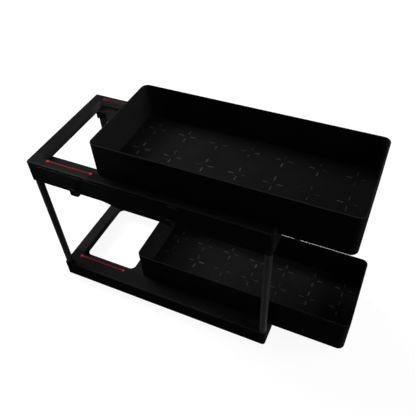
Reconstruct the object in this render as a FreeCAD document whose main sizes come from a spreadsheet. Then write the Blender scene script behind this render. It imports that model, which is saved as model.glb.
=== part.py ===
import FreeCAD, Part
import os
import re

# Two-tier under sink organizer: two open frame decks on four round posts, one sliding tray on
# each deck, two hooks hung in the upper deck's groove, red marker strips and corner pads.
# The origin is the centre of the front left pad on the standing surface; lengths are in millimetres.
# +X is the end the trays are pulled out at, +Y is the back and +Z is up.

SIZES = (
    ("rack_length", 403.0, "both decks, along the slides"),
    ("rack_width", 199.5, "both decks, front to back"),
    ("closed_corner_radius", 2.0, "upright corners of the decks at the closed end"),
    ("open_corner_radius", 5.0, "upright corners of the decks at the open end"),
    ("edge_radius", 1.8, "upper outer edges of the decks"),
    ("wall", 2.5, "skirts, guides and skins of the decks"),
    ("floor_thickness", 2.2, "track floors"),
    ("crossbar_width", 24.0, "bars between the three windows"),
    ("foot_stand", 1.0, "pads below the lower deck"),
    ("lower_deck_depth", 33.8, "lower skirt"),
    ("lower_recess", 12.1, "lower guides above the track floor"),
    ("lower_guide_width", 28.0, "outer face to channel"),
    ("lower_front_rail", 40.3, "outer face to window"),
    ("lower_back_rail", 29.5, "outer face to window"),
    ("lower_window_radius", 10.0, "corners of the lower windows"),
    ("lower_end_rail", 20.4, "closed end to window, and the low rail at the pull-out end"),
    ("post_clear_length", 206.4, "posts between the decks"),
    ("upper_deck_depth", 44.3, "upper skirt where it is deepest"),
    ("upper_recess", 13.2, "upper guides above the track floor"),
    ("upper_guide_width", 15.4, "outer face to channel"),
    ("upper_front_rail", 36.8, "outer face to window"),
    ("upper_back_rail", 28.0, "outer face to window"),
    ("upper_window_radius", 2.0, "corners of the upper windows"),
    ("upper_end_rail", 18.1, "closed end to window, and the low rail at the pull-out end"),
    ("closed_end_depth", 29.6, "upper skirt at the closed end, between the posts"),
    ("back_skirt_depth", 58.0, "upper skirt at the back"),
    ("relief_length", 131.5, "shallower front skirt from the closed end"),
    ("relief_slope", 26.0, "run of the slanted change of depth"),
    ("relief_height", 5.2, "how much shallower the skirt is there"),
    ("post_diameter", 11.8, "outside of the tubes"),
    ("post_wall", 1.2, "tubes"),
    ("lower_socket_depth", 22.0, "posts in the lower deck"),
    ("upper_socket_depth", 29.0, "posts in the upper deck"),
    ("socket_clearance", 0.1, "round the posts and pads"),
    ("socket_wall", 0.5, "round the sockets"),
    ("pad_diameter", 11.4, "rubber pads"),
    ("pad_recess", 2.0, "pads inside the lower deck"),
    ("pad_edge_radius", 0.5, "lower edge of the pads"),
    ("upper_tray_length", 393.0, "at the rim"),
    ("upper_tray_height", 68.6, "base to rim"),
    ("lower_tray_length", 378.0, "at the rim"),
    ("lower_tray_height", 69.1, "base to rim"),
    ("upper_tray_pull", 97.6, "how far it stands open"),
    ("lower_tray_pull", 128.7, "how far it stands open"),
    ("tray_travel", 180.0, "closed to fully open"),
    ("tray_draft", 0.15, "base inside the rim, each side"),
    ("tray_wall", 2.2, "tray sides"),
    ("tray_skirt", 5.0, "running edge below the tray floors"),
    ("tray_floor", 2.5, "tray floors"),
    ("tray_corner", 11.0, "upright corners of the trays"),
    ("tray_base_radius", 0.6, "outer edge of the running edge"),
    ("tray_inner_radius", 2.0, "inside, floor to wall"),
    ("tray_rim_radius", 0.8, "edges of the rim"),
    ("slide_gap", 0.3, "tray base above the track floor"),
    ("side_clearance", 0.8, "tray sides to the guides"),
    ("stop_clearance", 0.3, "trays and tabs to their stops"),
    ("slot_rise", 1.0, "tab slot above the track floor"),
    ("slot_height", 2.5, "tab slot"),
    ("tab_length", 8.0, "along the slide"),
    ("tab_setback", 22.0, "tab centre from the closed end of the tray"),
    ("tab_reach", 2.0, "tab inside the slot"),
    ("tab_clearance", 0.4, "tab below and above, in the slot"),
    ("slit_length", 10.0, "slits in the tray floors"),
    ("slit_width", 2.8, "slits in the tray floors"),
    ("slit_depth", 0.6, "slits, which stop inside the floors"),
    ("slit_centre_gap", 11.5, "between facing slits of one cross"),
    ("upper_column_share", 0.1387, "crosses along the upper tray, of its length"),
    ("upper_row_share", 0.323, "crosses across the upper tray, of its width"),
    ("lower_column_share", 0.1429, "crosses along the lower tray, of its length"),
    ("lower_row_share", 0.296, "crosses across the lower tray, of its width"),
    ("groove_drop", 2.4, "deck top to the hook groove"),
    ("groove_height", 3.8, "mouth of the hook groove"),
    ("groove_well", 4.5, "groove behind and below its lip"),
    ("groove_lip", 2.5, "lip in front of the groove"),
    ("groove_margin", 18.0, "groove ends from the deck ends"),
    ("hook_clearance", 0.3, "hooks to the groove and the skirt"),
    ("hook_thickness", 2.6, "hook strip"),
    ("hook_width", 16.0, "along the groove"),
    ("hook_tip_width", 10.5, "at the bend and the tip"),
    ("hook_drop", 33.0, "deck top to the lowest point of the hook"),
    ("hook_gap", 10.0, "inside of the bend"),
    ("hook_tip", 9.0, "straight tip above the bend"),
    ("hook_tip_radius", 4.0, "corners of the tip"),
    ("hook_left_at", 92.5, "from the closed end"),
    ("hook_right_at", 253.5, "from the closed end"),
    ("upper_front_strip_start", 32.6, "first dot from the closed end"),
    ("upper_back_strip_start", 23.4, "first dot from the closed end"),
    ("upper_strip_length", 79.0, "dot to dot"),
    ("lower_front_strip_start", 22.0, "first dot from the closed end"),
    ("lower_back_strip_start", 22.0, "first dot from the closed end"),
    ("lower_strip_length", 92.8, "dot to dot"),
    ("strip_width", 1.9, "marker line"),
    ("strip_dot", 5.0, "round ends of the marker"),
    ("strip_thickness", 0.8, "marker"),
    ("strip_sink", 0.6, "marker let into the guide"),
    ("strip_clearance", 0.1, "round the marker"),
    ("upper_front_strip_inset", 12.2, "marker from the outer face"),
    ("upper_back_strip_inset", 10.0, "marker from the outer face"),
    ("lower_front_strip_inset", 24.0, "marker from the outer face"),
    ("lower_back_strip_inset", 24.0, "marker from the outer face"),
    ("overrun", 2.0, "cutting shapes past the faces they open"),
)
WINDOWS = 3
SLIT_COLUMNS = 7
SLIT_ROWS = 3
NEAR = 1e-6

doc = FreeCAD.newDocument("UnderSinkOrganizer")
sheet = doc.addObject("Spreadsheet::Sheet", "Sizes")
for row, (alias, amount, note) in enumerate(SIZES, 1):
    sheet.set("A%d" % row, alias)
    sheet.set("B%d" % row, str(amount))
    sheet.setAlias("B%d" % row, alias)
    sheet.set("C%d" % row, note)
doc.recompute()

LOWER_TOP = "(foot_stand + lower_deck_depth)"
UPPER_BOTTOM = "(foot_stand + lower_deck_depth + post_clear_length)"
UPPER_TOP = "(foot_stand + lower_deck_depth + post_clear_length + upper_deck_depth)"
SOCKET_RADIUS = "(post_diameter / 2 + socket_clearance)"
POST_INSET = "(post_diameter / 2 + socket_clearance + socket_wall)"
GROOVE_DEPTH = "(groove_lip + hook_thickness + 2 * hook_clearance)"
RACK_X = "(rack_length / 2 - %s)" % POST_INSET
RACK_Y = "(rack_width / 2 - %s)" % POST_INSET
CORNERS = (("front_left", -1, -1), ("front_right", 1, -1), ("back_left", -1, 1), ("back_right", 1, 1))
SIDES = (("front", -1), ("back", 1))
ALONG_X = FreeCAD.Rotation(
    FreeCAD.Vector(0, -1, 0), FreeCAD.Vector(0, 0, -1), FreeCAD.Vector(1, 0, 0), "ZXY"
)
WEDGE_UPRIGHT = FreeCAD.Rotation(FreeCAD.Vector(1, 0, 0), 90)


def size(alias):
    """Number held by one cell of the sheet."""
    return float(sheet.get(alias))


def formula(text):
    """Expression in which every size is read from the sheet."""
    return re.sub(r"[a-z][a-z_]*", lambda found: "Sizes." + found.group(0), text)


def place(piece, start):
    """Binds the position of a piece to three formulas."""
    for axis, text in zip("xyz", start):
        piece.setExpression("Placement.Base." + axis, formula(text))
    return piece


def stand(piece, start):
    """Places a whole piece by formulas counted from the centre of the rack."""
    return place(piece, (RACK_X + " + " + start[0], RACK_Y + " + " + start[1], start[2]))


def box(name, start, lengths):
    """Block from its lowest corner and its three lengths."""
    block = doc.addObject("Part::Box", name)
    for side, text in zip(("Length", "Width", "Height"), lengths):
        block.setExpression(side, formula(text))
    return place(block, start)


def cylinder(name, centre, radius, height):
    """Upright round bar from the centre of its lower end."""
    bar = doc.addObject("Part::Cylinder", name)
    bar.setExpression("Radius", formula(radius))
    bar.setExpression("Height", formula(height))
    return place(bar, centre)


def wedge(name, lower, upper, across, height):
    """Block whose lower and upper ends differ: each end has its range along X and along Y."""
    block = doc.addObject("Part::Wedge", name)
    ranges = {
        "Xmin": lower[0], "Xmax": lower[1], "X2min": upper[0], "X2max": upper[1],
        "Zmin": across[0], "Zmax": across[1], "Z2min": across[2], "Z2max": across[3],
        "Ymin": height[0], "Ymax": height[1],
    }
    for side, text in ranges.items():
        block.setExpression(side, formula(text))
    block.Placement = FreeCAD.Placement(FreeCAD.Vector(), WEDGE_UPRIGHT)
    return block


def fuse(name, pieces):
    """Union of several pieces."""
    union = doc.addObject("Part::MultiFuse", name)
    union.Shapes = pieces
    union.Refine = True
    return union


def cut(name, base, tool):
    """Base without the tool."""
    rest = doc.addObject("Part::Cut", name)
    rest.Base = base
    rest.Tool = tool
    rest.Refine = True
    return rest


def level(edge, height):
    """Whether an edge lies at one height."""
    return all(abs(corner.Z - height) < NEAR for corner in edge.Vertexes)


def upright(edge):
    """Whether an edge climbs from one end to the other."""
    return len(edge.Vertexes) > 1 and abs(edge.Vertexes[0].Z - edge.Vertexes[1].Z) > NEAR


def rounded(name, base, radius_of):
    """Rounds every edge of the base for which radius_of gives a radius."""
    doc.recompute()
    piece = doc.addObject("Part::Fillet", name)
    piece.Base = base
    radii = [radius_of(edge) for edge in base.Shape.Edges]
    piece.Edges = [(number, radius, radius) for number, radius in enumerate(radii, 1) if radius]
    return piece


def rounded_block(name, start, lengths, radius):
    """Block with rounded upright corners."""
    return rounded(name, box(name + "_block", start, lengths), lambda edge: radius if upright(edge) else 0)


def signed(side, text):
    """The formula with the sign of one side of the rack."""
    return ("-" if side < 0 else "") + text


def channel_half(tier):
    """Half the width between the guides of one deck."""
    return "(rack_width / 2 - %s_guide_width)" % tier


def tray_width(tier):
    """Width of a tray at its rim: the channel less its clearances, widened by the draft above the guides."""
    return (
        "(2 * {1} - 2 * side_clearance + 2 * tray_draft"
        " - 2 * tray_draft * {0}_recess / {0}_tray_height)"
    ).format(tier, channel_half(tier))


def window_length(tier):
    """Length of each window of one deck, between the end rails and the crossbars."""
    return "((rack_length - 2 * %s_end_rail - %d * crossbar_width) / %d)" % (tier, WINDOWS - 1, WINDOWS)


def stop_overhang(tier):
    """How far the rim of a closed tray reaches over the closed end rail, less the stop clearance."""
    return "(tray_draft - tray_draft * {0}_recess / {0}_tray_height - stop_clearance)".format(tier)


def strip_shape(name, tier, place_name, side, start, spread, height):
    """Straight marker line with a round dot at each end, wider by spread all round."""
    across = "(rack_width / 2 - %s_%s_strip_inset)" % (tier, place_name)
    first = "-rack_length / 2 + %s_%s_strip_start" % (tier, place_name)
    length = tier + "_strip_length"
    line_start = (first, "%s - strip_width / 2 - %s" % (signed(side, across), spread), start)
    line = box(name + "_line", line_start, (length, "strip_width + 2 * " + spread, height))
    dots = []
    for end, reach in (("near", "0"), ("far", length)):
        centre = (first + " + " + reach, signed(side, across), start)
        dots.append(cylinder(name + "_" + end, centre, "strip_dot / 2 + " + spread, height))
    return fuse(name, [line] + dots)


def deck(tier, rim, cavities, cuts, extras):
    """Frame deck: skirt, guides, recessed track floor open at +X, three windows and four sockets."""
    depth = tier + "_deck_depth"
    recess = tier + "_recess"
    front_rail = tier + "_front_rail"
    back_rail = tier + "_back_rail"
    end_rail = tier + "_end_rail"
    window = window_length(tier)
    half = channel_half(tier)
    name = tier + "_deck"
    back = "(rack_width / 2 - %s)" % rim
    slab = box(
        name + "_slab",
        ("-rack_length / 2", "-rack_width / 2", "0"),
        ("rack_length", "rack_width", depth),
    )
    doc.recompute()
    top = slab.Shape.BoundBox.ZMax

    def slab_radius(edge):
        if upright(edge):
            return size("open_corner_radius" if edge.BoundBox.XMin > 0 else "closed_corner_radius")
        return size("edge_radius") if level(edge, top) else 0

    outer = rounded(name + "_outer", slab, slab_radius)
    hollows = list(cavities)
    hollows.append(box(
        name + "_under_floor",
        ("-rack_length / 2 + wall", "-" + back, "-overrun"),
        ("rack_length - 2 * wall", "2 * " + back, depth + " - " + recess + " - floor_thickness + overrun"),
    ))
    hollows.append(box(
        name + "_under_end_rail",
        ("-rack_length / 2 + wall", "-" + back, "-overrun"),
        (end_rail + " - 2 * wall", "2 * " + back, depth + " - wall + overrun"),
    ))
    for place_name, side in SIDES:
        start = "-" + back if side < 0 else half + " + wall"
        hollows.append(box(
            name + "_under_guide_" + place_name,
            ("-rack_length / 2 + wall", start, "-overrun"),
            ("rack_length - 2 * wall", back + " - " + half + " - wall", depth + " - wall + overrun"),
        ))
    solids = [cut(name + "_shell", outer, fuse(name + "_hollows", hollows))] + extras
    opened = list(cuts)
    for number in range(WINDOWS):
        start = "-rack_length / 2 + %s + %d * (%s + crossbar_width)" % (end_rail, number, window)
        opened.append(rounded_block(
            name + "_window_%d" % (number + 1),
            (start, "-rack_width / 2 + " + front_rail, "-overrun"),
            (window, "rack_width - %s - %s" % (front_rail, back_rail),
             depth + " - " + recess + " + 2 * overrun"),
            size(tier + "_window_radius"),
        ))
    for corner, along, across in CORNERS:
        centre_x = signed(along, RACK_X)
        centre_y = signed(across, RACK_Y)
        solids.append(cylinder(
            name + "_socket_" + corner, (centre_x, centre_y, "0"), POST_INSET, depth + " - wall",
        ))
        bore_start = depth + " - lower_socket_depth" if tier == "lower" else "-overrun"
        opened.append(cylinder(
            name + "_bore_" + corner, (centre_x, centre_y, bore_start), SOCKET_RADIUS,
            tier + "_socket_depth + overrun",
        ))
    opened.append(box(
        name + "_channel",
        ("-rack_length / 2 + " + end_rail, "-" + half, depth + " - " + recess),
        ("rack_length", "2 * " + half, recess + " + overrun"),
    ))
    for place_name, side in SIDES:
        start = "-%s - wall - overrun" % half if side < 0 else half + " - overrun"
        opened.append(box(
            name + "_tab_slot_" + place_name,
            ("-rack_length / 2 + " + end_rail, start, depth + " - " + recess + " + slot_rise"),
            ("tab_setback + tab_length / 2 + tray_travel + stop_clearance - " + stop_overhang(tier),
             "wall + 2 * overrun", "slot_height"),
        ))
        opened.append(strip_shape(
            name + "_strip_seat_" + place_name, tier, place_name, side,
            depth + " - strip_sink", "strip_clearance", "strip_sink + overrun",
        ))
    return cut(name, fuse(name + "_solids", solids), fuse(name + "_openings", opened))


def tray_block(name, tier, inset, floor, top, base_radius):
    """Tapered block with rounded corners: the tray's outline moved in by inset, from floor to top."""
    corner = size("tray_corner") - (size(inset) if inset else 0)
    inset = inset or "0"
    tray = tier + "_tray"
    taper = "tray_draft * (%s) / " + tray + "_height"
    ends = []
    for length in (tray + "_length", tray_width(tier)):
        low = "(%s / 2 - tray_draft - %s + %s)" % (length, inset, taper % floor)
        high = "(%s / 2 - tray_draft - %s + %s)" % (length, inset, taper % top)
        ends.append(("-" + low, low, "-" + high, high))
    block = wedge(name + "_block", ends[0][:2], ends[0][2:], ends[1], (floor, top))
    doc.recompute()
    base = block.Shape.BoundBox.ZMin

    def radius_of(edge):
        if upright(edge):
            return corner
        return base_radius if level(edge, base) else 0

    return rounded(name, block, radius_of)


def slit_prism(length, width, height):
    """Slit with round ends, centred on the origin, along X."""
    reach = (length - width) / 2
    half = width / 2
    flat_back = Part.makeLine(FreeCAD.Vector(-reach, half, 0), FreeCAD.Vector(reach, half, 0))
    right = Part.Arc(
        FreeCAD.Vector(reach, half, 0), FreeCAD.Vector(reach + half, 0, 0), FreeCAD.Vector(reach, -half, 0)
    ).toShape()
    flat_front = Part.makeLine(FreeCAD.Vector(reach, -half, 0), FreeCAD.Vector(-reach, -half, 0))
    left = Part.Arc(
        FreeCAD.Vector(-reach, -half, 0), FreeCAD.Vector(-reach - half, 0, 0), FreeCAD.Vector(-reach, half, 0)
    ).toShape()
    return Part.Face(Part.Wire([flat_back, right, flat_front, left])).extrude(FreeCAD.Vector(0, 0, height))


def slits(tier, outline):
    """Grid of crosses, each of four blind slits round an open centre, in the tray floor."""
    height = size("slit_depth") + size("overrun")
    reach = (size("slit_centre_gap") + size("slit_length")) / 2
    pattern = []
    for column in range(SLIT_COLUMNS):
        for line in range(SLIT_ROWS):
            along = (column - (SLIT_COLUMNS - 1) / 2) * size(tier + "_column_share") * outline.XLength
            across = (line - (SLIT_ROWS - 1) / 2) * size(tier + "_row_share") * outline.YLength
            for quarter in range(4):
                slit = slit_prism(size("slit_length"), size("slit_width"), height)
                slit.translate(FreeCAD.Vector(reach, 0, 0))
                slit.rotate(FreeCAD.Vector(), FreeCAD.Vector(0, 0, 1), 90 * quarter)
                slit.translate(FreeCAD.Vector(along, across, 0))
                pattern.append(slit)
    tool = doc.addObject("Part::Feature", tier + "_tray_slits")
    tool.Shape = Part.makeCompound(pattern)
    return place(tool, ("0", "0", "tray_skirt + tray_floor - slit_depth"))


def tray(tier):
    """Open tray with tapered walls, slits in its floor and a stop tab on each side near its closed end."""
    name = tier + "_tray"
    height = name + "_height"
    outer = tray_block(name + "_outer", tier, "", "0", height, size("tray_base_radius"))
    inner = tray_block(
        name + "_inner", tier, "tray_wall", "tray_skirt + tray_floor", height + " + overrun",
        size("tray_inner_radius"),
    )
    below = tray_block(name + "_below", tier, "tray_wall", "-overrun", "tray_skirt", 0)
    shell = cut(name + "_shell", outer, fuse(name + "_hollows", [inner, below]))
    rim_height = size(height)
    smooth = rounded(
        name + "_smooth", shell, lambda edge: size("tray_rim_radius") if level(edge, rim_height) else 0,
    )
    solids = [smooth]
    root = "(%s / 2 - tray_draft - tray_wall)" % tray_width(tier)
    reach = "(%s + tab_reach - %s)" % (channel_half(tier), root)
    for place_name, side in SIDES:
        start = "-%s - %s" % (root, reach) if side < 0 else root
        solids.append(box(
            name + "_tab_" + place_name,
            ("-%s_length / 2 + tab_setback - tab_length / 2" % name, start,
             "slot_rise + tab_clearance - slide_gap"),
            ("tab_length", reach, "slot_height - 2 * tab_clearance"),
        ))
    piece = cut(name, fuse(name + "_solids", solids), slits(tier, outer.Shape.BoundBox))
    closed = "-rack_length / 2 + %s_end_rail - %s" % (tier, stop_overhang(tier))
    deck_top = LOWER_TOP if tier == "lower" else UPPER_TOP
    return stand(piece, (
        "%s + %s_length / 2 + %s_pull" % (closed, name, name),
        "0",
        "%s - %s_recess + slide_gap" % (deck_top, tier),
    ))


def post(corner, along, across):
    """Round tube standing in the lower socket and carrying the upper deck."""
    name = "post_" + corner
    height = "lower_socket_depth + post_clear_length + upper_socket_depth"
    bar = cylinder(name + "_outside", ("0", "0", "0"), "post_diameter / 2", height)
    bore = cylinder(
        name + "_inside", ("0", "0", "-overrun"), "post_diameter / 2 - post_wall", height + " + 2 * overrun",
    )
    return stand(cut(name, bar, bore), (
        signed(along, RACK_X),
        signed(across, RACK_Y),
        LOWER_TOP + " - lower_socket_depth",
    ))


def pad(corner, along, across):
    """Round rubber pad let into the underside of the lower deck."""
    name = "pad_" + corner
    disc = cylinder(name + "_disc", ("0", "0", "0"), "pad_diameter / 2", "foot_stand + pad_recess")
    soft = rounded(name, disc, lambda edge: size("pad_edge_radius") if level(edge, 0) else 0)
    return stand(soft, (
        signed(along, RACK_X),
        signed(across, RACK_Y),
        "0",
    ))


def hook(place_name):
    """Bent strip: tongue behind the groove's lip, plate down the skirt, round bend and upright tip."""
    name = "hook_" + place_name
    lip_top = "-groove_drop - groove_height"
    half_width = "-hook_width / 2"
    half_tip = "-hook_tip_width / 2"
    plate_y = "-hook_clearance - hook_thickness"
    bend_y = plate_y + " - hook_gap / 2"
    bend_z = "-hook_drop + hook_thickness + hook_gap / 2"
    neck = box(
        name + "_neck",
        (half_width, plate_y, lip_top + " + hook_clearance"),
        ("hook_width", GROOVE_DEPTH + " + hook_thickness", "hook_thickness"),
    )
    tongue = box(
        name + "_tongue",
        (half_width, "groove_lip + hook_clearance", lip_top + " - groove_well + hook_clearance"),
        ("hook_width", "hook_thickness", "groove_well + hook_thickness"),
    )
    across = ("hook_clearance", "hook_clearance + hook_thickness")
    plate = wedge(
        name + "_plate",
        (half_tip, "hook_tip_width / 2"),
        (half_width, "hook_width / 2"),
        across + across,
        (bend_z, lip_top + " + hook_clearance + hook_thickness"),
    )
    rings = []
    for part_name, radius in (("outside", "hook_gap / 2 + hook_thickness"), ("inside", "hook_gap / 2")):
        ring = doc.addObject("Part::Cylinder", name + "_bend_" + part_name)
        ring.setExpression("Radius", formula(radius))
        ring.setExpression("Height", formula("hook_tip_width"))
        ring.Angle = 180
        ring.Placement = FreeCAD.Placement(FreeCAD.Vector(), ALONG_X)
        rings.append(place(ring, (half_tip, bend_y, bend_z)))
    bend = cut(name + "_bend", rings[0], rings[1])
    tip = box(
        name + "_tip_block",
        (half_tip, plate_y + " - hook_gap - hook_thickness", bend_z),
        ("hook_tip_width", "hook_thickness", "hook_tip"),
    )
    doc.recompute()
    tip_top = tip.Shape.BoundBox.ZMax

    def tip_radius(edge):
        along_y = abs(edge.Vertexes[0].Y - edge.Vertexes[1].Y) > NEAR
        return size("hook_tip_radius") if along_y and level(edge, tip_top) else 0

    soft_tip = rounded(name + "_tip", tip, tip_radius)
    piece = fuse(name, [neck, tongue, plate, bend, soft_tip])
    return stand(piece, ("-rack_length / 2 + %s_at" % name, "-rack_width / 2", UPPER_TOP))


def marker(tier, place_name, side):
    """Red marker strip let into the top of one guide."""
    name = "%s_%s_marker" % (tier, place_name)
    strip = strip_shape(name, tier, place_name, side, "0", "0", "strip_thickness")
    deck_top = LOWER_TOP if tier == "lower" else UPPER_TOP
    return stand(strip, ("0", "0", deck_top + " - strip_sink"))


def hook_grooves():
    """Undercut grooves along the front and the back of the upper deck."""
    depth = "upper_deck_depth - groove_drop - groove_height"
    run = "rack_length - 2 * groove_margin"
    grooves = []
    for place_name, side in SIDES:
        mouth = "-rack_width / 2 - overrun" if side < 0 else "rack_width / 2 - " + GROOVE_DEPTH
        well = "-rack_width / 2 + groove_lip" if side < 0 else "rack_width / 2 - " + GROOVE_DEPTH
        grooves.append(box(
            "groove_mouth_" + place_name,
            ("-rack_length / 2 + groove_margin", mouth, depth),
            (run, GROOVE_DEPTH + " + overrun", "groove_height"),
        ))
        grooves.append(box(
            "groove_well_" + place_name,
            ("-rack_length / 2 + groove_margin", well, depth + " - groove_well"),
            (run, GROOVE_DEPTH + " - groove_lip", "groove_well + groove_height"),
        ))
    return grooves


def closed_end_relief():
    """Block that leaves the upper skirt shallower at the closed end, between the posts."""
    clear = "(rack_width / 2 - 2 * %s)" % POST_INSET
    return box(
        "closed_end_relief",
        ("-rack_length / 2 - overrun", "-" + clear, "-overrun"),
        ("wall + 2 * overrun", "2 * " + clear, "upper_deck_depth - closed_end_depth + overrun"),
    )


def skirt_relief():
    """Wedge that leaves the upper front skirt shallower towards the closed end."""
    start = "-rack_length / 2 - overrun"
    full = "-rack_length / 2 + relief_length"
    across = ("0", "rack_width / 2 + overrun")
    return wedge(
        "skirt_relief",
        (start, full + " + relief_slope + relief_slope * overrun / relief_height"),
        (start, full),
        across + across,
        ("-overrun", "relief_height"),
    )


def back_apron():
    """Plate that carries the upper skirt further down at the back, behind the posts."""
    reach = "(rack_length / 2 - open_corner_radius)"
    foot = "upper_deck_depth - back_skirt_depth"
    plate = box(
        "back_apron_plate",
        ("-" + reach, "rack_width / 2 - wall", foot),
        ("2 * " + reach, "wall", "back_skirt_depth - upper_deck_depth + wall"),
    )
    post_ways = [
        cylinder(
            "back_apron_way_" + corner, (signed(along, RACK_X), RACK_Y, foot + " - overrun"), SOCKET_RADIUS,
            "back_skirt_depth - upper_deck_depth + wall + 2 * overrun",
        )
        for corner, along, across in CORNERS if across > 0
    ]
    return cut("back_apron", plate, fuse("back_apron_ways", post_ways))


upper_skirt_hollow = box(
    "upper_deck_under_rim",
    ("-rack_length / 2 + wall", "-rack_width / 2 + wall", "-overrun"),
    ("rack_length - 2 * wall", "rack_width - 2 * wall",
     "upper_deck_depth - upper_recess - floor_thickness + overrun"),
)
pad_seats = [
    cylinder(
        "pad_seat_" + corner,
        (signed(along, RACK_X),
         signed(across, RACK_Y), "-overrun"),
        "pad_diameter / 2 + socket_clearance", "pad_recess + overrun",
    )
    for corner, along, across in CORNERS
]
upper_cuts = hook_grooves() + [skirt_relief(), closed_end_relief()]
upper = deck("upper", "(%s + wall)" % GROOVE_DEPTH, [upper_skirt_hollow], upper_cuts, [back_apron()])
lower = deck("lower", "wall", [], pad_seats, [])
nodes = [
    stand(upper, ("0", "0", UPPER_BOTTOM)),
    stand(lower, ("0", "0", "foot_stand")),
    tray("upper"),
    tray("lower"),
    hook("left"),
    hook("right"),
]
nodes += [post(*corner) for corner in CORNERS]
nodes += [pad(*corner) for corner in CORNERS]
nodes += [marker(tier, *side) for tier in ("upper", "lower") for side in SIDES]
doc.recompute()

for item in doc.Objects:
    if "Invalid" in item.State or "Error" in item.State:
        raise RuntimeError("not computed: " + item.Name)
    if hasattr(item, "Shape") and (item.Shape.isNull() or not item.Shape.isValid()):
        raise RuntimeError("no sound shape: " + item.Name)

os.makedirs("parts", exist_ok=True)
for node in nodes:
    node.Label = node.Name
    node.Shape.exportStep("parts/%s.step" % node.Label)
    print(node.Label, len(node.Shape.Solids), round(node.Shape.Volume), node.Shape.BoundBox)
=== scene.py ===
import bpy
import numpy as np
from mathutils import Matrix, Vector


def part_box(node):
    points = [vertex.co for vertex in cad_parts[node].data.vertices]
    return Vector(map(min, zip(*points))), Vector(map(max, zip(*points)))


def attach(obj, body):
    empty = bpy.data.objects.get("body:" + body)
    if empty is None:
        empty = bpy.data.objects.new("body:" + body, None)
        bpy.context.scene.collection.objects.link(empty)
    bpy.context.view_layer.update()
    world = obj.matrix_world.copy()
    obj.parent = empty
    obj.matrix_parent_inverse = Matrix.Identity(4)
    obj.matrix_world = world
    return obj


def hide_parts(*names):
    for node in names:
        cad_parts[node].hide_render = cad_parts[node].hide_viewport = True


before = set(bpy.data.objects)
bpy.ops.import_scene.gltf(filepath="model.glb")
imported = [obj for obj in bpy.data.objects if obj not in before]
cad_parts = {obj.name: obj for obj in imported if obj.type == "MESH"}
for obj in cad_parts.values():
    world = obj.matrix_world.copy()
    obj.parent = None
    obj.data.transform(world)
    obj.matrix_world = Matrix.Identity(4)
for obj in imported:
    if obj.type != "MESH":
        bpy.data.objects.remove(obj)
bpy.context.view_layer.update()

MM = 0.001
X, Y, Z = range(3)

# Camera fitted to the straight edges of the decks and trays, in the row frame.
EYE = (0.507364, -0.417090, 0.772495)
AHEAD = (-0.309813, 0.624488, -0.716959)
ABOVE = (-0.270211, 0.665139, 0.696115)
LENS = 42.776
SENSOR = 36.0

# Soft lights of the studio: name, place, aim, size in metres and watts.
SOFT_LIGHTS = (
    ("left", (-1.0, 0.4, 1.2), (0.2, 0.09, 0.2), 0.7, 24.0),
    ("above", (-0.6, 0.5, 1.65), (0.1, 0.09, 0.2), 0.9, 12.0),
    ("right", (1.5, 0.25, 0.85), (0.2, 0.09, 0.25), 0.8, 10.0),
    ("front", (0.45, -0.75, 0.75), (0.05, 0.15, 0.27), 0.4, 0.2),
)

# Narrow light on the back corner of the closed end: place, aim, cone in degrees and watts.
CORNER_LIGHT = ((0.45, -0.60, 0.85), (0.01, 0.16, 0.26), 13.0, 8.0)
CORNER_BLEND = 0.7
CORNER_LAMP_RADIUS = 0.05

# Even light of the world on the object.
AMBIENT = 0.04

# Floor sheet: its side and points along it, the tones, share of glow and strength of glow that the camera
# sees, and the tone that lights the object.
FLOOR_SIZE = 8.0
FLOOR_POINTS = 5
FLOOR_TONES = (0.86, 0.9)
FLOOR_GLOW_SHARE = 0.84
FLOOR_GLOW = 1.1
FLOOR_UNSEEN_TONE = 0.04

# Hook strip, repeated from the source.
HOOK_THICKNESS = 2.6 * MM
HOOK_GAP = 10.0 * MM
HOOK_TIP = 9.0 * MM
HOOK_TIP_RADIUS = 4.0 * MM
HOOK_TIP_WIDTH = 10.5 * MM
HOOK_TONGUE = 7.1 * MM
HOOK_INNER_RADIUS = 0.4 * MM
HOOK_EDGE_RADIUS = 0.6 * MM

# Points of the hook's surface along a straight run, an arc, the tip's circle and an end edge, and across.
RUN_POINTS = 6
ARC_POINTS = 18
TIP_POINTS = 14
EDGE_POINTS = 6
AROUND_POINTS = 24

# Share of the edge rounding that thins the hook's ends, and of the half thickness that a corner may take.
END_SHARE = 0.8
CORNER_SHARE = 0.9

# Tray floors above their running edge, and track floors below the deck tops, in millimetres for patch().
TRAY_FLOOR = 7.5
TRACK_RECESS = {"upper": 13.2, "lower": 12.1}

# Width of a deck's upper edge, paled for wear and as a painted highlight, and the depth below the top from
# which it is paled fully.
LIP_WIDTH = 3.0 * MM
LIP_FULL = 0.9 * MM

# Linear tones of the finishes, and the shares of red, green and blue in a marker's tone.
# The lower tray's tone is paler than the upper tray's as painted light.
TRAY_TONES = {"upper": 0.0108, "lower": 0.0140}
DECK_TONE = 0.0130
POST_TONE = 0.0280
HOOK_TONE = 0.0120
PAD_TONES = (0.009, 0.016)
# The upper back marker's tone is lower than the others' as painted shade.
MARKER_TONES = {"upper_front": 0.16, "upper_back": 0.07, "lower_front": 0.17, "lower_back": 0.17}
RED_SHARES = (1.0, 0.032, 0.036)

# Middle roughness of the plastic, and specular levels of the finishes.
PLASTIC_ROUGHNESS = 0.5
HOOK_ROUGHNESS = 0.45
PLASTIC_SPECULAR = 0.0006
HOOK_SPECULAR = 0.001
POST_SPECULAR = 0.016
MARKER_SPECULAR = 0.02
PAD_SPECULAR = 0.05
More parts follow.
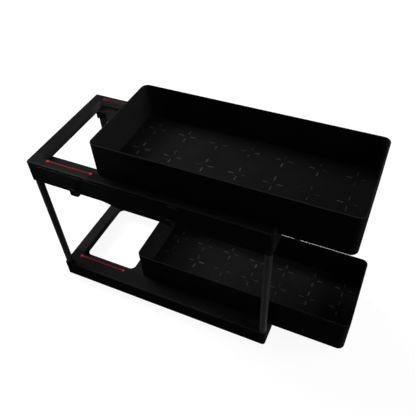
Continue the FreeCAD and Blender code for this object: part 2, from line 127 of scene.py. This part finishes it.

# Factors on those tones: above 1 for worn edges, painted highlights, painted light on shaded places,
# painted glints in slits and the markers' end dots; below 1 for painted shade and painted shadow.
# Deck's upper outer edge: paler for wear and as a painted highlight.
LIP_WEAR_AND_HIGHLIGHT = 2.8
# Tray rim: paler for wear and as a painted highlight.
RIM_WEAR_AND_HIGHLIGHT = 1.2
WORN_BEND = 1.6
# Painted light on the deck's track walls, which lie in shade.
TRACK_WALL_LIGHT = 6.0
# Painted light in the shaded mouth of the upper deck's front groove.
GROOVE_LIGHT = 6.0
# Painted light on the band at the upper deck's front groove.
LIP_BAND_LIGHT = 2.6
# Painted light on the upper deck's front face, falling off from the closed end.
SKIRT_LIGHT = 2.4
# Painted light on the shaded inside of the upper deck's back skirt.
BACK_SKIRT_LIGHT = 6.0
# Painted shade on the top of the upper deck's closed end rail.
RAIL_SHADE = 0.65
# Painted shadow of the tray on the upper deck's front guide.
GUIDE_SHADOW = 0.5
# Painted shade on the lower deck's front guide, most at the closed end.
FRONT_GUIDE_SHADE = 0.5
# Painted glints in the tray floor's slits.
SLIT_GLINT = 6.0
# Painted light on the inside of each tray's closed end wall.
END_WALL_LIGHT = {"upper": 1.3, "lower": 1.6}
# Painted shade on the upper tray's floor towards the pull-out end.
FLOOR_SHADE = 0.6
MARKER_DOT = 2.1


class Finish:
    """Node material of one finish, worked out on object coordinates."""

    def __init__(self, name):
        self.material = bpy.data.materials.new(name)
        self.material.use_nodes = True
        self.tree = self.material.node_tree
        self.tree.nodes.clear()
        self.place = self.add("ShaderNodeTexCoord").outputs["Object"]

    def add(self, kind, sockets=None, **settings):
        """New node with its settings, its plain sockets set and its other sockets linked."""
        made = self.tree.nodes.new(kind)
        for key, choice in settings.items():
            setattr(made, key, choice)
        for key, content in (sockets or {}).items():
            if isinstance(content, bpy.types.NodeSocket):
                self.tree.links.new(content, made.inputs[key])
            else:
                made.inputs[key].default_value = content
        return made

    def math(self, operation, first, second):
        """One number from two."""
        return self.add("ShaderNodeMath", {0: first, 1: second}, operation=operation).outputs[0]

    def span(self, number, low, high, to_low=0.0, to_high=1.0):
        """Number carried from low..high to to_low..to_high, held at the ends."""
        sockets = {"Value": number, "From Min": low, "From Max": high, "To Min": to_low, "To Max": to_high}
        return self.add("ShaderNodeMapRange", sockets).outputs["Result"]

    def noise(self, scale, detail, roughness=0.55, stretch=None):
        """Noise on object coordinates, scale in cycles a metre times stretch along each axis."""
        place = self.place
        if stretch:
            place = self.add("ShaderNodeMapping", {"Vector": place, "Scale": stretch}).outputs[0]
        sockets = {"Vector": place, "Scale": scale, "Detail": detail, "Roughness": roughness}
        return self.add("ShaderNodeTexNoise", sockets).outputs[0]

    def blend(self, amount, first, second, how="MIX"):
        """Colour between the first and its mix with the second, as far as amount says."""
        sockets = {0: amount, 6: first, 7: second}
        return self.add("ShaderNodeMix", sockets, data_type="RGBA", blend_type=how).outputs[2]

    def scaled(self, amount, color, factor):
        """Colour multiplied by a factor, as far as amount says."""
        return self.blend(amount, color, grey(factor), "MULTIPLY")

    def parts(self, vector):
        """The three parts of a vector."""
        return self.add("ShaderNodeSeparateXYZ", {0: vector}).outputs

    def facing(self):
        """The three parts of the surface normal."""
        return self.parts(self.add("ShaderNodeNewGeometry").outputs["Normal"])

    def within(self, low, high, soft):
        """Product of ramps at the bounds of a box, each over soft to either side: 1 inside, 0 outside."""
        place = self.parts(self.place)
        mask = 1.0
        for axis in (X, Y, Z):
            for bound, step in ((low[axis], soft), (high[axis], -soft)):
                if bound is not None:
                    ramp = self.span(place[axis], bound - step, bound + step)
                    mask = self.math("MULTIPLY", mask, ramp)
        return mask

    def bump(self, height, strength, distance, under=None):
        """Surface normal tilted by a height, on top of another normal where there is one."""
        sockets = {"Height": height, "Strength": strength, "Distance": distance}
        if under:
            sockets["Normal"] = under
        return self.add("ShaderNodeBump", sockets).outputs["Normal"]

    def close(self, color, roughness, normal, specular):
        """Material with a surface of the worked-out colour, roughness and normal."""
        shader = self.add("ShaderNodeBsdfPrincipled", {
            "Base Color": color,
            "Roughness": roughness,
            "Normal": normal,
            "Specular IOR Level": specular,
        })
        self.add("ShaderNodeOutputMaterial", {"Surface": shader.outputs[0]})
        return self.material


def grey(level, warmth=1.0):
    """Neutral colour of one linear level, a little warmer or cooler by warmth."""
    return (level * warmth, level, level / warmth, 1.0)


def red(level):
    """Deep red of one linear level."""
    return tuple(level * share for share in RED_SHARES) + (1.0,)


def patch(box, low=(None, None, None), high=(None, None, None), soft=0.3, turned=None, fade=None):
    """Mask of one place on a piece: a box, the faces in it that are turned one way, and a fade along X.

    low and high are the bounds in millimetres from the low corner of the piece, or from its high corner
    where they are negative; None leaves a side open, and soft is the half width of the ramp at a bound.
    turned is an axis and the normal's parts along it at which the mask is 0 and 1. fade is two shares of
    the piece's length and the mask's numbers there. The mask is the product of the three.
    """
    start, end = box

    def bound(axis, offset):
        if offset is None:
            return None
        corner = start if offset > 0 else end
        return corner[axis] + offset * MM

    lows = [bound(axis, low[axis]) for axis in (X, Y, Z)]
    highs = [bound(axis, high[axis]) for axis in (X, Y, Z)]

    def mask(finish):
        amount = finish.within(lows, highs, soft * MM)
        if turned:
            axis, none, full = turned
            amount = finish.math("MULTIPLY", amount, finish.span(finish.facing()[axis], none, full))
        if fade:
            near, far = (start.x + share * (end.x - start.x) for share in fade[:2])
            along = finish.span(finish.parts(finish.place)[X], near, far, *fade[2:])
            amount = finish.math("MULTIPLY", amount, along)
        return amount
    return mask


def lip_wear_and_highlight(box):
    """Mask for a deck's upper outer edges, paled for wear and as a painted highlight: the greater of two
    ramps up to its outer faces, times a ramp up to its top.
    """
    start, end = box
    centre = (start + end) / 2
    half = (end - start) / 2

    def mask(finish):
        sockets = {0: finish.place, 1: (centre.x, centre.y, 0.0)}
        away = finish.add("ShaderNodeVectorMath", sockets, operation="SUBTRACT").outputs[0]
        reach = finish.parts(finish.add("ShaderNodeVectorMath", {0: away}, operation="ABSOLUTE").outputs[0])
        along = finish.span(reach[X], half.x - LIP_WIDTH, half.x)
        across = finish.span(reach[Y], half.y - LIP_WIDTH, half.y)
        upper = finish.span(reach[Z], end.z - LIP_WIDTH, end.z - LIP_FULL)
        return finish.math("MULTIPLY", finish.math("MAXIMUM", along, across), upper)
    return mask


def rim_wear_and_highlight(box):
    """Mask for a tray: the last millimetre below its rim, paled for wear and as a painted highlight."""
    return patch(box, low=(None, None, -0.75), soft=0.45)


def worn_bend(box):
    """Mask for a hook: the lowest part of its bend, where loops rub."""
    return patch(box, high=(None, None, 2.5), soft=1.5)


def lit_track_walls(box, recess):
    """Mask for a deck: the upright walls around its track, paled as painted light where they stand in
    shade.
    """
    return patch(box, (9.0, 9.0, -recess - 3.0), (-3.0, -9.0, None), 0.2, turned=(Z, 0.6, 0.3))


def groove_mouth(box):
    """Mask for the upper deck: the mouth of the front groove, paled as painted light into its shade, most
    at the closed end.
    """
    return patch(box, (3.0, 0.1, -11.0), (-3.0, 7.0, -2.2), 0.1, fade=(0.0, 0.6, 1.0, 0.25))


def lip_band(box):
    """Mask for the upper deck: the band at the front groove, paled as painted light, most at the closed
    end.
    """
    return patch(box, (None, None, -7.0), (None, 0.6, None), 0.5, fade=(0.0, 0.45, 1.0, 0.0))


def front_skirt(box):
    """Mask for the upper deck: its front face, paled as painted light that falls off from the closed end.
    """
    return patch(box, high=(None, 0.6, -6.0), fade=(0.0, 0.8, 1.0, 0.05))


def back_skirt(box):
    """Mask for the upper deck: the inside of its back skirt below the track floor, paled as painted light
    into its shade.
    """
    return patch(box, (None, -3.0, None), (None, None, -15.0), 0.2, turned=(Y, -0.4, -0.8))


def closed_rail(box):
    """Mask for the upper deck: the top of its closed end rail, darkened as painted shade."""
    return patch(box, (None, 24.0, -2.5), (20.0, None, None), 2.0, turned=(Z, 0.6, 0.9))


def shadowed_guide(box):
    """Mask for the upper deck: the top of its front guide beside the tray, darkened as the tray's painted
    shadow.
    """
    return patch(box, (112.0, None, -2.5), (None, 22.0, None), 2.0, turned=(Z, 0.3, 0.6))


def front_guide(box):
    """Mask for the lower deck: the top of its front guide, darkened as painted shade, most at the closed
    end.
    """
    upward = (Z, 0.6, 0.9)
    return patch(box, (None, None, -2.5), (None, 36.0, None), 2.0, upward, fade=(0.0, 0.7, 1.0, 0.0))


def end_wall(box):
    """Mask for a tray: the inside of its closed end wall, paled as painted light."""
    return patch(box, (None, 3.0, 6.0), (9.0, -3.0, None), 1.0, turned=(X, 0.4, 0.9))


def floor_falloff_shade(box):
    """Mask for the upper tray: its floor, darkened as painted shade towards the pull-out end."""
    upward = (Z, 0.7, 0.95)
    return patch(box, high=(None, None, TRAY_FLOOR + 1.0), turned=upward, fade=(0.153, 0.662, 0.0, 1.0))


def floor_slits(box):
    """Mask for a tray: the slits of its floor, times slow noise, so that some carry brighter painted
    glints.
    """
    lowest = (10.0, 10.0, TRAY_FLOOR - 1.15)
    highest = (-10.0, -10.0, TRAY_FLOOR - 0.175)
    slits = patch(box, lowest, highest, 0.075, turned=(Z, -0.4, -0.2))

    def mask(finish):
        glint_share = finish.span(finish.noise(30.0, 2.0), 0.38, 0.64, 0.15, 1.0)
        return finish.math("MULTIPLY", slits(finish), glint_share)
    return mask


def moulded_plastic(name, tone, edge_wear_and_highlight, wear_and_highlight_factor, places, roughness, specular):
    """Black moulded plastic: eroded grain, slow mottling, draw marks along X, dust, and edges paled for
    wear and as a painted highlight.

    The edge mask marks the edges that hands, trays and loops rub, where the tone is the edge factor times
    as pale, for that wear and as a painted highlight.
    Each entry of places is a mask of painted light or shade and the factor on the tone there.
    """
    finish = Finish(name)
    mottle = finish.noise(22.0, 3.0)
    marks = finish.noise(60.0, 5.0, 0.6, (0.25, 6.0, 6.0))
    grain = finish.noise(1500.0, 2.0)
    speck = finish.noise(420.0, 6.0, 0.7)
    base = finish.blend(finish.span(mottle, 0.3, 0.7), grey(tone * 0.86), grey(tone * 1.12))
    drawn = finish.blend(finish.span(marks, 0.56, 0.78, 0.0, 0.5), base, grey(tone * 1.45))
    # Edges paled for wear and as a painted highlight.
    pale_edge_amount = finish.math("MULTIPLY", edge_wear_and_highlight(finish), finish.span(marks, 0.3, 0.6, 0.45, 1.0))
    pale_edged = finish.blend(pale_edge_amount, drawn, grey(tone * wear_and_highlight_factor))
    level = finish.span(finish.facing()[Z], 0.7, 1.0)
    lying = finish.math("MULTIPLY", level, finish.span(speck, 0.6, 0.74, 0.0, 0.3))
    color = finish.blend(lying, pale_edged, grey(tone * 2.6, 1.03))
    for mask, factor in places:
        color = finish.scaled(mask(finish), color, factor)
    uneven = finish.math("ADD", mottle, finish.math("MULTIPLY", speck, 0.5))
    rough = finish.span(uneven, 0.5, 1.0, roughness - 0.07, roughness + 0.09)
    normal = finish.bump(grain, 0.22, 0.0002, finish.bump(mottle, 0.05, 0.001))
    return finish.close(color, rough, normal, specular)


def deck_black(tier):
    """Black of one deck: its track walls get painted light, and its other places of painted light and shade
    differ by tier.
    """
    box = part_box(tier + "_deck")
    places = [(lit_track_walls(box, TRACK_RECESS[tier]), TRACK_WALL_LIGHT)]
    if tier == "upper":
        places += [
            (groove_mouth(box), GROOVE_LIGHT),
            (lip_band(box), LIP_BAND_LIGHT),
            (front_skirt(box), SKIRT_LIGHT),
            (back_skirt(box), BACK_SKIRT_LIGHT),
            (closed_rail(box), RAIL_SHADE),
            (shadowed_guide(box), GUIDE_SHADOW),
        ]
    else:
        places.append((front_guide(box), FRONT_GUIDE_SHADE))
    name = tier + "_deck_black"
    lip = lip_wear_and_highlight(box)
    return moulded_plastic(name, DECK_TONE, lip, LIP_WEAR_AND_HIGHLIGHT, places, PLASTIC_ROUGHNESS, PLASTIC_SPECULAR)


def tray_black(tier):
    """Black of one tray: painted glints in its slits, painted light on its end wall and, on the upper one,
    painted shade on its floor.
    """
    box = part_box(tier + "_tray")
    places = [(floor_slits(box), SLIT_GLINT), (end_wall(box), END_WALL_LIGHT[tier])]
    if tier == "upper":
        places.append((floor_falloff_shade(box), FLOOR_SHADE))
    name = tier + "_tray_black"
    tone = TRAY_TONES[tier]
    rim = rim_wear_and_highlight(box)
    return moulded_plastic(name, tone, rim, RIM_WEAR_AND_HIGHLIGHT, places, PLASTIC_ROUGHNESS, PLASTIC_SPECULAR)


def hook_black():
    """Black of both hooks, smoother and a little glossier than the trays."""
    bend = worn_bend(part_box("hook_left"))
    return moulded_plastic("hook_black", HOOK_TONE, bend, WORN_BEND, (), HOOK_ROUGHNESS, HOOK_SPECULAR)


def post_grey():
    """Powder coated tube: orange peel, faint drawing lines up the tube and slow change of tone."""
    finish = Finish("post_grey")
    slow = finish.noise(18.0, 2.0)
    lines = finish.noise(500.0, 3.0, 0.5, (1.0, 1.0, 0.02))
    peel = finish.noise(900.0, 2.0, 0.4)
    base = finish.blend(finish.span(slow, 0.3, 0.7), grey(POST_TONE * 0.9), grey(POST_TONE * 1.12, 0.99))
    lined = finish.blend(finish.span(lines, 0.5, 0.75, 0.0, 0.35), base, grey(POST_TONE * 1.4))
    rough = finish.span(slow, 0.3, 0.7, 0.36, 0.46)
    normal = finish.bump(peel, 0.18, 0.0003, finish.bump(lines, 0.04, 0.0002))
    return finish.close(lined, rough, normal, POST_SPECULAR)


def marker_red(marker):
    """Red satin strip: slow change of tone, fine grain, darker specks, and brighter dots at its ends."""
    finish = Finish(marker + "_red")
    tone = MARKER_TONES[marker]
    slow = finish.noise(45.0, 3.0)
    speck = finish.noise(700.0, 4.0, 0.65)
    base = finish.blend(finish.span(slow, 0.3, 0.7), red(tone * 0.8), red(tone * 1.2))
    flecked = finish.blend(finish.span(speck, 0.6, 0.75, 0.0, 0.4), base, red(tone * 0.6))
    line = patch(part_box(marker + "_marker"), (5.0, None, None), (-5.0, None, None))(finish)
    color = finish.scaled(finish.math("SUBTRACT", 1.0, line), flecked, MARKER_DOT)
    rough = finish.span(speck, 0.3, 0.7, 0.38, 0.52)
    return finish.close(color, rough, finish.bump(speck, 0.12, 0.0002), MARKER_SPECULAR)


def pad_rubber():
    """Black rubber: pitted, dull, greyed where it has stood."""
    finish = Finish("pad_rubber")
    pits = finish.noise(900.0, 5.0, 0.7)
    slow = finish.noise(80.0, 3.0)
    black, greyed = PAD_TONES
    base = finish.blend(finish.span(slow, 0.35, 0.7), grey(black), grey(greyed, 1.04))
    rough = finish.span(pits, 0.3, 0.7, 0.72, 0.9)
    return finish.close(base, rough, finish.bump(pits, 0.3, 0.0004), PAD_SPECULAR)


def pale_floor():
    """Floor that the camera, gloss and clear parts see nearly white, with the object's soft shadow."""
    finish = Finish("studio_floor")
    darker, paler = FLOOR_TONES
    tint = finish.blend(finish.noise(3.0, 2.0), grey(darker), grey(paler))
    shaded = finish.add("ShaderNodeBsdfDiffuse", {"Color": tint}).outputs[0]
    glow = finish.add("ShaderNodeEmission", {"Color": grey(1.0), "Strength": FLOOR_GLOW}).outputs[0]
    seen = finish.add("ShaderNodeMixShader", {0: FLOOR_GLOW_SHARE, 1: shaded, 2: glow}).outputs[0]
    unseen = finish.add("ShaderNodeBsdfDiffuse", {"Color": grey(FLOOR_UNSEEN_TONE)}).outputs[0]
    path = finish.add("ShaderNodeLightPath").outputs
    mirrored = finish.math("MAXIMUM", path["Is Glossy Ray"], path["Is Transmission Ray"])
    shown = finish.math("MAXIMUM", path["Is Camera Ray"], mirrored)
    mixed = finish.add("ShaderNodeMixShader", {0: shown, 1: unseen, 2: seen}).outputs[0]
    finish.add("ShaderNodeOutputMaterial", {"Surface": mixed})
    finish.material.cycles.emission_sampling = "NONE"
    return finish.material


def surface(name, points, closed, material):
    """Object from a grid of points (rows, columns, 3): quads between neighbours.

    A closed one also joins the last point of each row to the first, with one face over each end row.
    """
    rows, columns = points.shape[:2]
    index = np.arange(rows * columns).reshape(rows, columns)
    ahead = np.roll(index, -1, axis=1) if closed else index[:, 1:]
    start = index if closed else index[:, :-1]
    faces = np.stack((start[:-1], ahead[:-1], ahead[1:], start[1:]), axis=-1).reshape(-1, 4).tolist()
    if closed:
        faces += [index[0, ::-1].tolist(), index[-1].tolist()]
    mesh = bpy.data.meshes.new(name)
    mesh.from_pydata(points.reshape(-1, 3).tolist(), [], faces)
    mesh.polygons.foreach_set("use_smooth", np.ones(len(mesh.polygons), bool))
    mesh.materials.append(material)
    piece = bpy.data.objects.new(name, mesh)
    bpy.context.scene.collection.objects.link(piece)
    return piece


def strip_path(start, heading, runs):
    """Points, headings and distances along straight runs and round arcs.

    Each run is (length, turn): a line where turn is 0, else an arc that turns by that angle, whose point at
    share t of the run lies at radius * (sin(turn t), 1 - cos(turn t)) from its start, along and across.
    """
    places, angles, distances = [], [], []
    place, gone = np.array(start, float), 0.0
    for length, turn in runs:
        share = np.linspace(0.0, 1.0, ARC_POINTS if turn else RUN_POINTS)
        if turn:
            radius = length / turn
            along, across = radius * np.sin(turn * share), radius * (1.0 - np.cos(turn * share))
        else:
            along, across = length * share, np.zeros_like(share)
        ahead = np.array((np.cos(heading), np.sin(heading)))
        side = np.array((-np.sin(heading), np.cos(heading)))
        points = place + along[:, None] * ahead + across[:, None] * side
        new = slice(1 if places else 0, None)
        places.append(points[new])
        angles.append((heading + turn * share)[new])
        distances.append((gone + length * share)[new])
        place, heading, gone = points[-1], heading + turn, gone + length
    return np.concatenate(places), np.concatenate(angles), np.concatenate(distances)


def end_spacing(radius, count):
    """Distances from an end, closer towards it: radius * (1 - sin(a)) with a from 0 to a quarter turn."""
    return radius * (1 - np.sin(np.linspace(0, np.pi / 2, count)))


def end_rounding(distance, radius):
    """What a circle takes off near an end: r - sqrt(r^2 - d^2), with d the distance into the last r."""
    into = np.clip(radius - distance, 0.0, radius)
    return radius - np.sqrt(np.maximum(radius ** 2 - into ** 2, 0.0))


def hook_strip(node, body, material):
    """Bent hook strip: a rounded rectangle carried along tongue, neck, plate, bend and tip.

    Half the width is full to the top of the plate, narrows evenly down the plate to half the tip's width,
    and is rounded off over the last of the tip. Half the thickness is lessened at both ends by a share of
    the rounding with the edge radius. A point of the rectangle at angle a lies at the centre of its corner
    plus corner * (cos(a), sin(a)).
    """
    low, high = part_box(node)
    thick = HOOK_THICKNESS / 2
    turn = HOOK_INNER_RADIUS + thick
    bend = HOOK_GAP / 2 + thick
    plate_y = low.y + thick + 2 * bend
    bend_z = low.z + HOOK_THICKNESS + HOOK_GAP / 2
    quarter = np.pi / 2
    to_plate = (
        (HOOK_TONGUE - thick - turn, 0.0),
        (turn * quarter, quarter),
        (high.y - thick - plate_y - 2 * turn, 0.0),
        (turn * quarter, quarter),
    )
    plate = high.z - thick - turn - bend_z
    runs = to_plate + ((plate, 0.0), (bend * np.pi, -np.pi), (HOOK_TIP, 0.0))
    centre, angle, gone = strip_path((high.y - thick, high.z - HOOK_TONGUE), quarter, runs)
    length = gone[-1]
    fine = np.unique(np.round(np.concatenate((
        gone,
        length - end_spacing(HOOK_TIP_RADIUS, TIP_POINTS),
        length - end_spacing(HOOK_EDGE_RADIUS, EDGE_POINTS),
        end_spacing(HOOK_EDGE_RADIUS, EDGE_POINTS),
    )), 8))
    left = length - fine
    path = np.stack([np.interp(fine, gone, centre[:, axis]) for axis in (0, 1)], axis=1)
    angle = np.interp(fine, gone, angle)[:, None]
    top = sum(run[0] for run in to_plate)
    half_width = np.interp(fine, (top, top + plate), ((high.x - low.x) / 2, HOOK_TIP_WIDTH / 2))
    half_width -= end_rounding(left, HOOK_TIP_RADIUS)
    thinned = end_rounding(left, HOOK_EDGE_RADIUS) + end_rounding(fine, HOOK_EDGE_RADIUS)
    half_thick = thick - END_SHARE * thinned
    around = (np.arange(AROUND_POINTS) * 2 + 1) * np.pi / AROUND_POINTS
    corner = np.minimum(HOOK_EDGE_RADIUS, half_thick * CORNER_SHARE)[:, None]
    wide = np.sign(np.cos(around)) * (half_width[:, None] - corner) + corner * np.cos(around)
    deep = np.sign(np.sin(around)) * (half_thick[:, None] - corner) + corner * np.sin(around)
    points = np.empty(wide.shape + (3,))
    points[..., X] = (low.x + high.x) / 2 + wide
    points[..., Y] = path[:, :1] - np.sin(angle) * deep
    points[..., Z] = path[:, 1:] + np.cos(angle) * deep
    piece = surface(node + "_strip", points, True, material)
    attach(piece, body)
    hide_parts(node)


def floor_sheet():
    """Level square sheet under the object: x and y run over a grid, z is 0."""
    run = np.linspace(-FLOOR_SIZE / 2, FLOOR_SIZE / 2, FLOOR_POINTS)
    across, along = np.meshgrid(run, run)
    points = np.stack((across, along, np.zeros_like(across)), axis=-1)
    surface("studio_floor", points, False, pale_floor())


def hang_light(lamp, place, aim):
    """Lamp's light at a place, turned to an aim."""
    light = bpy.data.objects.new(lamp.name, lamp)
    light.location = place
    light.rotation_euler = (Vector(aim) - Vector(place)).to_track_quat("-Z", "Y").to_euler()
    bpy.context.scene.collection.objects.link(light)


def soft_light(name, place, aim, size, watts):
    """Square area light."""
    lamp = bpy.data.lights.new(name, "AREA")
    lamp.shape = "SQUARE"
    lamp.size = size
    lamp.energy = watts
    hang_light(lamp, place, aim)


def corner_light(place, aim, cone, watts):
    """Spot light with a soft-edged cone."""
    lamp = bpy.data.lights.new("corner", "SPOT")
    lamp.spot_size = np.radians(cone)
    lamp.spot_blend = CORNER_BLEND
    lamp.shadow_soft_size = CORNER_LAMP_RADIUS
    lamp.energy = watts
    hang_light(lamp, place, aim)


def studio_world():
    """World that is white to the camera, gloss and clear parts, and a weak even light to the rest."""
    world = bpy.data.worlds.new("studio")
    world.use_nodes = True
    tree = world.node_tree
    tree.nodes.clear()
    path = tree.nodes.new("ShaderNodeLightPath").outputs
    seen = path["Is Camera Ray"]
    for ray in ("Is Glossy Ray", "Is Transmission Ray"):
        either = tree.nodes.new("ShaderNodeMath")
        either.operation = "MAXIMUM"
        tree.links.new(seen, either.inputs[0])
        tree.links.new(path[ray], either.inputs[1])
        seen = either.outputs[0]
    strength = tree.nodes.new("ShaderNodeMapRange")
    strength.inputs["To Min"].default_value = AMBIENT
    tree.links.new(seen, strength.inputs["Value"])
    back = tree.nodes.new("ShaderNodeBackground")
    back.inputs["Color"].default_value = grey(1.0)
    tree.links.new(strength.outputs["Result"], back.inputs["Strength"])
    output = tree.nodes.new("ShaderNodeOutputWorld")
    tree.links.new(back.outputs[0], output.inputs["Surface"])
    world.cycles.sampling_method = "NONE"
    bpy.context.scene.world = world


def fitted_camera():
    """Camera at the fitted place, turned by its ahead and above directions."""
    data = bpy.data.cameras.new("camera")
    data.lens = LENS
    data.sensor_width = SENSOR
    camera = bpy.data.objects.new("camera", data)
    ahead = Vector(AHEAD).normalized()
    right = ahead.cross(Vector(ABOVE)).normalized()
    turned = Matrix((right, right.cross(ahead), -ahead)).transposed()
    camera.matrix_world = Matrix.Translation(Vector(EYE)) @ turned.to_4x4()
    bpy.context.scene.collection.objects.link(camera)
    bpy.context.scene.camera = camera


def dress(node, material):
    """Gives a node's object one finish in all of its slots."""
    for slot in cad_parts[node].material_slots:
        slot.material = material


for tier in ("upper", "lower"):
    dress(tier + "_deck", deck_black(tier))
    dress(tier + "_tray", tray_black(tier))
hook_finish = hook_black()
for side in ("left", "right"):
    hook_strip("hook_" + side, "hook_" + side, hook_finish)
post_finish = post_grey()
pad_finish = pad_rubber()
for corner in ("front_left", "front_right", "back_left", "back_right"):
    dress("post_" + corner, post_finish)
    dress("pad_" + corner, pad_finish)
for marker in MARKER_TONES:
    dress(marker + "_marker", marker_red(marker))

floor_sheet()
for light in SOFT_LIGHTS:
    soft_light(*light)
corner_light(*CORNER_LIGHT)
studio_world()
fitted_camera()
bpy.context.scene.view_settings.view_transform = "Standard"
